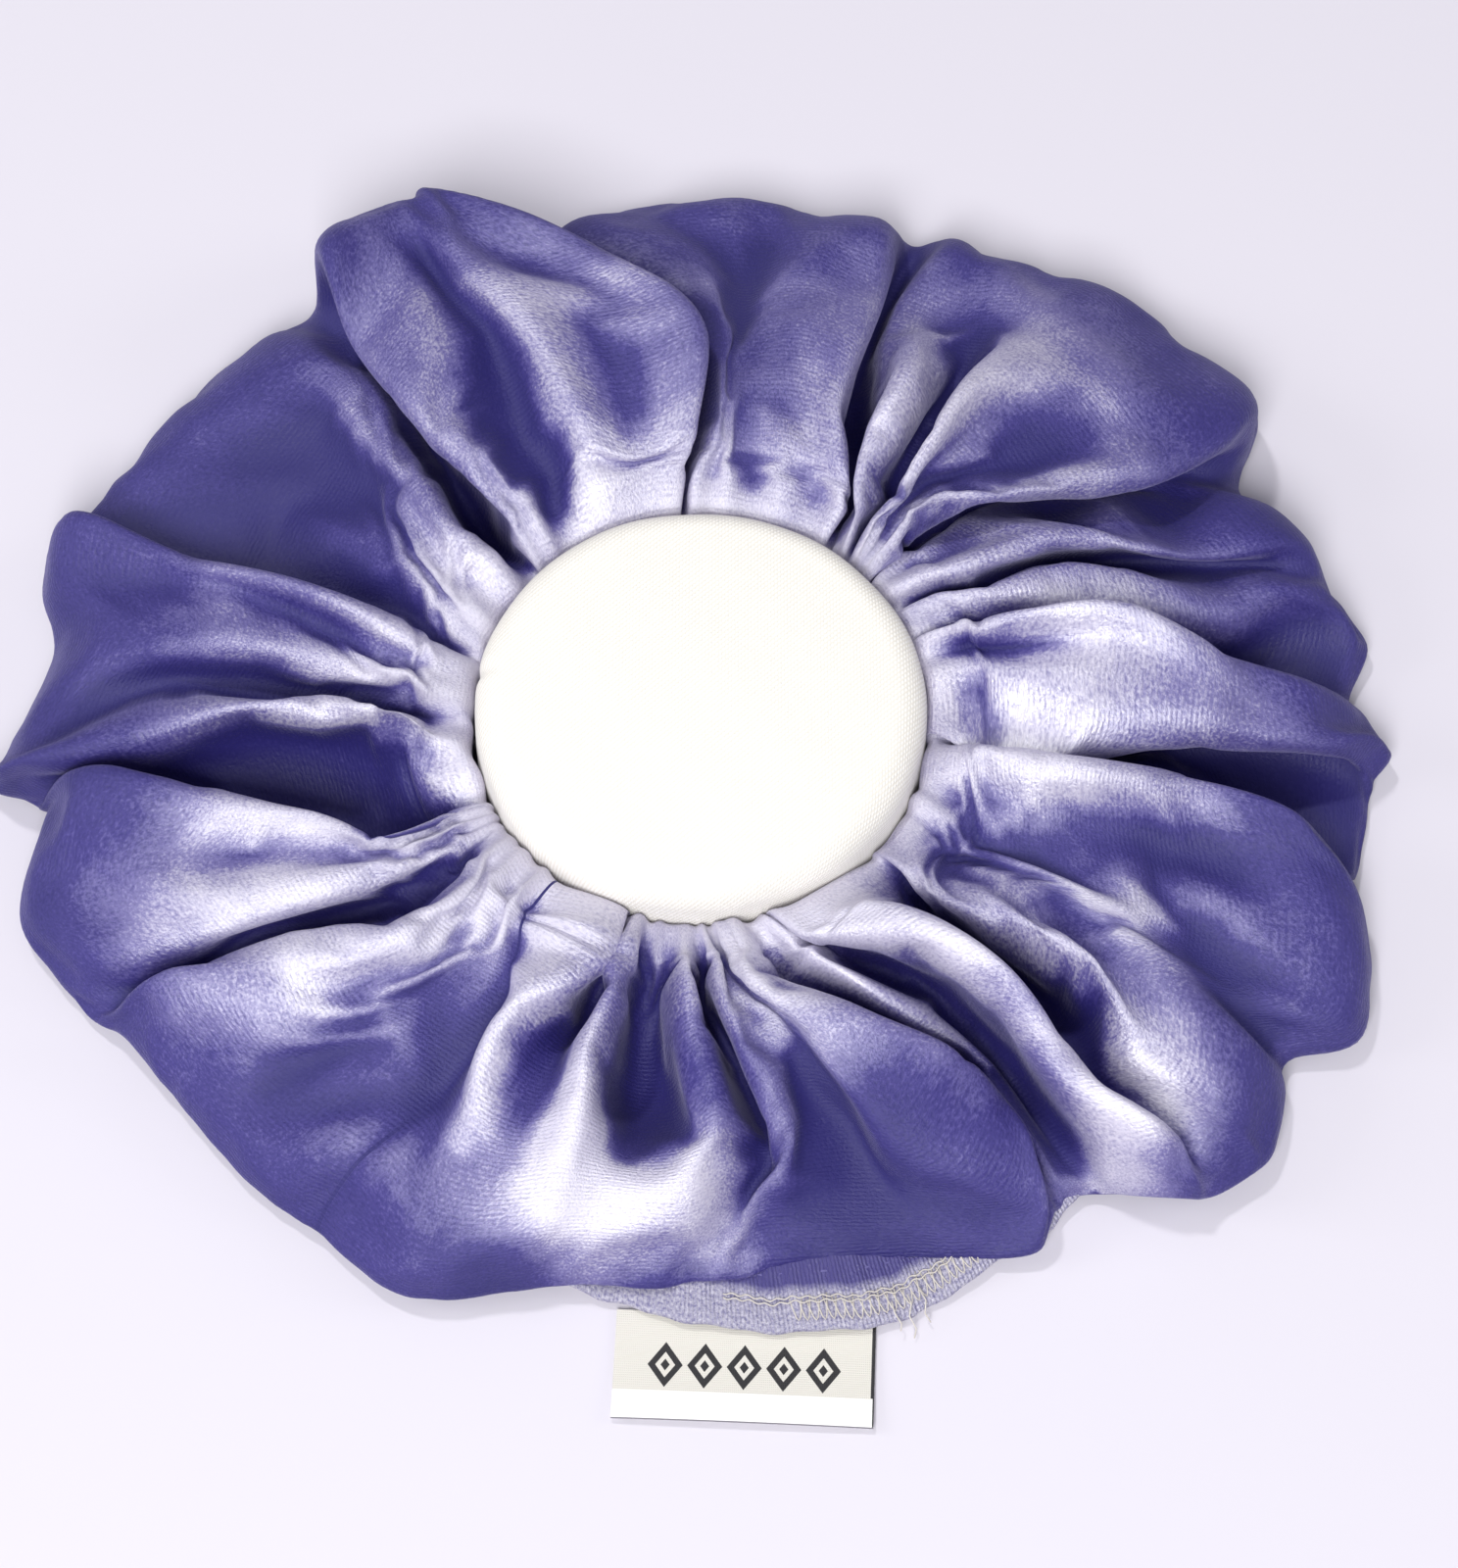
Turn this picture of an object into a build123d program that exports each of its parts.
from build123d import *
import math
import os

# Gathered velvet scrunchie held round a cloth-covered round pad.
# Z is up, the resting surface is z = 0, and the pad's axis is the Z axis.
# The sewn-in label points towards -Y. All sizes are millimetres.

# --- driving dimensions -----------------------------------------------------
pad_radius = 24.0
pad_height = 18.0
pad_edge_radius = 3.6
pad_foot_radius = 1.2
pad_crown = 0.7            # rise of the top from its shoulder to its middle

ring_gap = 0.5             # free play between the pad's side and the gathered ring
ring_crest_height = 20.0   # highest line of the gathered ring
rim_height = 5.0           # thickness of the flattened tube at its outer edge
velvet = 1.2               # pile and backing together

elastic_width = 6.0
elastic_thickness = 1.0
elastic_bottom = 5.0
elastic_lap_angle = 26.0   # the ends of the band lap over this many degrees

twill = 0.8
felt = 1.2
felt_radius = 20.5
board_thickness = 2.0
board_margin = 0.6
wadding_thickness = 2.4
layer_gap = 0.05           # between the layers stacked inside the pad
hem_depth = 7.5            # cover cloth turned in under the pad
thread = 0.5               # thread diameter

label_width = 26.4
label_drop = 7.6           # from its hinge line to its folded end
label_leaf = 0.36
label_centre_x = 4.7
label_turn = -2.5          # degrees, seen from above

hem_width = 3.4            # overlocked seam allowance that shows at the front
hem_thickness = 1.3
hem_radius = 63.2          # its inner edge
hem_first_angle = -101.0
hem_last_angle = -61.0

# Outer edge of the ring seen from above: angle in degrees from +X, radius.
# Each wide lobe has its tip here, with the dip beside it.
ring_outline = [
    (0, 73.5), (8, 71.5), (16, 73.5), (28, 69.0), (36, 74.5), (48, 75.0),
    (60, 73.5), (72, 71.0), (86, 71.5), (98, 71.0), (107, 69.5), (117, 77.5),
    (126, 74.5), (141, 73.8), (153, 74.6), (162, 75.2), (170, 72.6), (178, 75.0),
    (187, 72.4), (196, 74.2), (205, 70.0), (216, 66.2), (229, 65.6), (240, 67.0),
    (248, 66.8), (258, 63.4), (274, 63.0), (290, 63.4), (302, 65.0), (311, 70.0),
    (319, 74.0), (328, 71.5), (336, 75.6), (347, 72.0),
]

# --- sizes that follow ------------------------------------------------------
ring_inner = pad_radius + ring_gap
elastic_inner = ring_inner + velvet + 0.15
elastic_outer = elastic_inner + elastic_thickness
elastic_middle = elastic_bottom + elastic_width / 2
cover_bottom = felt
board_bottom = cover_bottom + twill + layer_gap
foam_bottom = board_bottom + board_thickness + layer_gap
wadding_top = pad_height - twill - layer_gap
foam_top = wadding_top - wadding_thickness
hinge_radius = hem_radius + hem_width + 0.8
label_thickness = 2 * label_leaf + 0.08
hinge_height = label_thickness / 2


def polar(angle, radius, height=0.0):
    """Point at an angle in degrees and a radius from the pad's axis."""
    turn = math.radians(angle)
    return (radius * math.cos(turn), radius * math.sin(turn), height)


def revolved(section):
    """Solid of revolution of a flat section: its X is the radius, its Y the height."""
    return revolve(Plane.XZ * section, Axis.Z)


def annulus(inner, outer, bottom, height):
    """Plain flat or tall ring about the Z axis."""
    ring = Circle(outer) - Circle(inner)
    return extrude(Plane.XY.offset(bottom) * ring, height)


def sector(inner, outer, bottom, height, first, last):
    """Part of a ring between two angles."""
    middle = (first + last) / 2
    start, half, end = (polar(a, outer, bottom) for a in (first, middle, last))
    back_end, back_half, back_start = (polar(a, inner, bottom) for a in (last, middle, first))
    edge = (
        ThreePointArc(start, half, end)
        + Line(end, back_end)
        + ThreePointArc(back_end, back_half, back_start)
        + Line(back_start, start)
    )
    return extrude(make_face(edge), height)


# --- the velvet tube --------------------------------------------------------
def ring_body(inset):
    """The gathered tube's outer shape, or the hollow inside it at a wall's inset."""
    inner = ring_inner + inset
    low = inset
    top = ring_crest_height - inset
    rim = rim_height - inset
    reach = 85.0
    section = (
        Line((inner + 1.5, low), (reach, low))
        + Line((reach, low), (reach, rim - 1.0))
        + Spline(
            (reach, rim - 1.0), (66.0, rim + 0.6), (48.0, rim + 7.6),
            (36.0, top), (inner + 2.5, top - 3.0), (inner, top - 7.0),
            tangents=((-1, 0), (0, -1)),
        )
        + Line((inner, top - 7.0), (inner, low + 1.5))
        + Line((inner, low + 1.5), (inner + 1.5, low))
    )
    edge = Spline(*[polar(a, r - inset)[:2] for a, r in ring_outline], periodic=True)
    stamp = extrude(make_face(edge), ring_crest_height + 5)
    return revolved(make_face(section)) & stamp


def velvet_sleeve():
    """Closed tube of velvet, hollow inside, with a nest for the seam allowance."""
    nest = sector(hem_radius - 0.1, 90.0, -1.0, hem_thickness + 2.1,
                  hem_first_angle - 0.5, hem_last_angle + 0.5)
    return ring_body(0.0) - ring_body(velvet) - nest


# --- what the tube holds ----------------------------------------------------
def elastic_band():
    """Flat woven elastic standing on its edge, its ends lapped one over the other."""
    band = annulus(elastic_inner, elastic_outer, elastic_bottom, elastic_width)
    lap = sector(elastic_outer, elastic_outer + elastic_thickness, elastic_bottom,
                 elastic_width, 90 - elastic_lap_angle / 2, 90 + elastic_lap_angle / 2)
    return band + lap


def upright_stitch(angle, radius, bottom, top):
    """Short straight stitch standing on edge beside a wall."""
    foot = Plane(origin=polar(angle, radius, bottom))
    return extrude(foot * Circle(thread / 2), top - bottom)


def elastic_join_stitches():
    """Two rows of tacks over the lapped ends of the elastic."""
    radius = elastic_outer + elastic_thickness + thread / 2 + 0.02
    low, high = elastic_bottom + 0.8, elastic_bottom + elastic_width - 0.8
    stitches = []
    for side in (-1, 1):
        for step in range(4):
            angle = 90 + side * (4.0 + 2.1 * step)
            stitches.append(upright_stitch(angle, radius, low, high))
    return stitches


def closing_seam_thread():
    """Thread inside the tube, along the seam where its two ends meet."""
    clear = velvet + thread
    inner = ring_inner + clear + 6.0
    crest = ring_crest_height - clear - 1.2
    rim = rim_height - clear - 0.3
    path = Spline((inner, 0, crest - 2.2), (37.5, 0, crest), (48.0, 0, rim + 7.0), (62.0, 0, rim + 0.6))
    start = Plane(origin=path @ 0, z_dir=path % 0)
    strand = sweep(start * Circle(thread / 2), path)
    return Rot(0, 0, 237.0) * strand


def seam_allowance():
    """Overlocked edge of the velvet's lengthwise seam, which shows at the front."""
    return sector(hem_radius, hem_radius + hem_width, 0.0, hem_thickness,
                  hem_first_angle, hem_last_angle)


def overlock_thread():
    """Loops of overlock thread laid across the seam allowance."""
    loops = []
    count = 32
    for step in range(count):
        angle = hem_first_angle + 2 + (hem_last_angle - hem_first_angle - 4) * step / (count - 1)
        lean = 0.7 if step % 2 else -0.7
        height = hem_thickness + thread / 2 + 0.02
        start = Vector(*polar(angle - lean / 2, hem_radius + 0.5, height))
        end = Vector(*polar(angle + lean / 2, hem_radius + hem_width - 0.1, height))
        run = Plane(origin=start, z_dir=end - start)
        loops.append(extrude(run * Circle(thread / 2), (end - start).length))
    return loops


# --- the label --------------------------------------------------------------
def label_frame():
    """Plane at the label's hinge line, its X along the line and its Y outwards."""
    across = math.radians(label_turn)
    return Plane(
        origin=(label_centre_x, -hinge_radius, hinge_height),
        x_dir=(math.cos(across), math.sin(across), 0),
        z_dir=(0, 0, 1),
    )


def folded_label():
    """Woven tape folded in two, its cut ends rolled into the seam."""
    half_gap = 0.04
    outer = half_gap + label_leaf
    end = -label_drop + outer
    across = Plane(origin=(-label_width / 2, 0, 0), x_dir=(0, 1, 0), z_dir=(1, 0, 0))
    leaves = Pos(end / 2, 0) * Rectangle(-end, 2 * outer) + Pos(end, 0) * Circle(outer)
    slit = Pos(end / 2 - 0.6, 0) * Rectangle(-end - 1.2, 2 * half_gap)
    roll = Circle(outer)
    profile = leaves - slit + roll
    return label_frame() * extrude(across * profile, label_width)


def label_stitches():
    """Row of machine stitches that holds the label's ends under the allowance."""
    stitches = []
    count = 9
    height = hem_thickness + thread / 2 + 0.02
    for step in range(count):
        x = label_centre_x - 11.0 + 22.0 * step / (count - 1)
        radius = hem_radius + 0.15
        angle = math.degrees(math.asin(x / radius))
        start = Vector(radius * math.sin(math.radians(angle - 0.75)),
                       -radius * math.cos(math.radians(angle - 0.75)), height)
        end = Vector(radius * math.sin(math.radians(angle + 0.75)),
                     -radius * math.cos(math.radians(angle + 0.75)), height)
        run = Plane(origin=start, z_dir=end - start)
        stitches.append(extrude(run * Circle(thread / 2 - 0.1), (end - start).length))
    return stitches


# --- the pad ----------------------------------------------------------------
def pad_form(inset):
    """The covered pad's outer shape, or that shape set in by a thickness."""
    radius, low, top = pad_radius - inset, cover_bottom + inset, pad_height - inset
    edge, foot, shoulder = pad_edge_radius - inset, pad_foot_radius - inset, top - pad_crown
    outline = (
        Line((0, low), (radius - foot, low))
        + CenterArc((radius - foot, low + foot), foot, 270, 90)
        + Line((radius, low + foot), (radius, shoulder - edge))
        + CenterArc((radius - edge, shoulder - edge), edge, 0, 90)
        + Bezier((radius - edge, shoulder), ((radius - edge) / 2, top), (0, top))
        + Line((0, top), (0, low))
    )
    return revolved(make_face(outline))


def disc(radius, bottom, height):
    """Flat round layer."""
    return extrude(Plane.XY.offset(bottom) * Circle(radius), height)


def pad_cover():
    """Twill drawn over the pad: crown, side, and a hem turned in underneath."""
    opening = disc(pad_radius - hem_depth, cover_bottom - 1, twill + 1.5)
    return pad_form(0.0) - pad_form(twill) - opening


def pad_layer(bottom, top):
    """Layer that fills the cover from side to side between two heights."""
    return pad_form(twill + layer_gap) & disc(pad_radius, bottom, top - bottom)


def pad_wadding():
    """Thin wadding over the foam, crowned like the cover above it."""
    return pad_layer(foam_top, pad_height)


def pad_foam():
    """Firm foam puck that gives the pad its height."""
    return pad_layer(foam_bottom, foam_top - layer_gap)


def pad_board():
    """Greyboard disc that keeps the pad's base flat."""
    return disc(pad_radius - twill - board_margin, board_bottom, board_thickness)


def gather_thread():
    """Running thread in the cover's hem, drawn up under the pad."""
    return revolved(Pos(pad_radius - hem_depth - thread, cover_bottom + twill / 2) * Circle(thread / 2))


def base_felt():
    """Felt disc that closes the pad's underside, which the pad stands on."""
    return disc(felt_radius, 0.0, felt)


def base_stitches():
    """Slip stitches between the felt's edge and the cover's hem."""
    stitches = []
    count = 36
    for step in range(count):
        angle = 360.0 * step / count
        radius = felt_radius + thread / 2 + 0.03
        start = Vector(*polar(angle - 2.2, radius, felt - thread / 2 - 0.03))
        end = Vector(*polar(angle + 2.2, radius, felt - thread / 2 - 0.03))
        run = Plane(origin=start, z_dir=end - start)
        stitches.append(extrude(run * Circle(thread / 2 - 0.06), (end - start).length))
    return stitches


nodes = {
    "velvet_sleeve": velvet_sleeve(),
    "elastic_band": elastic_band(),
    "elastic_join_stitches": elastic_join_stitches(),
    "closing_seam_thread": closing_seam_thread(),
    "seam_allowance": seam_allowance(),
    "overlock_thread": overlock_thread(),
    "folded_label": folded_label(),
    "label_stitches": label_stitches(),
    "pad_cover": pad_cover(),
    "pad_wadding": pad_wadding(),
    "pad_foam": pad_foam(),
    "pad_board": pad_board(),
    "gather_thread": gather_thread(),
    "base_felt": base_felt(),
    "base_stitches": base_stitches(),
}

os.makedirs("parts", exist_ok=True)
for name, shape in nodes.items():
    if isinstance(shape, list):
        shape = Compound(children=shape)
    export_step(shape, f"parts/{name}.step")
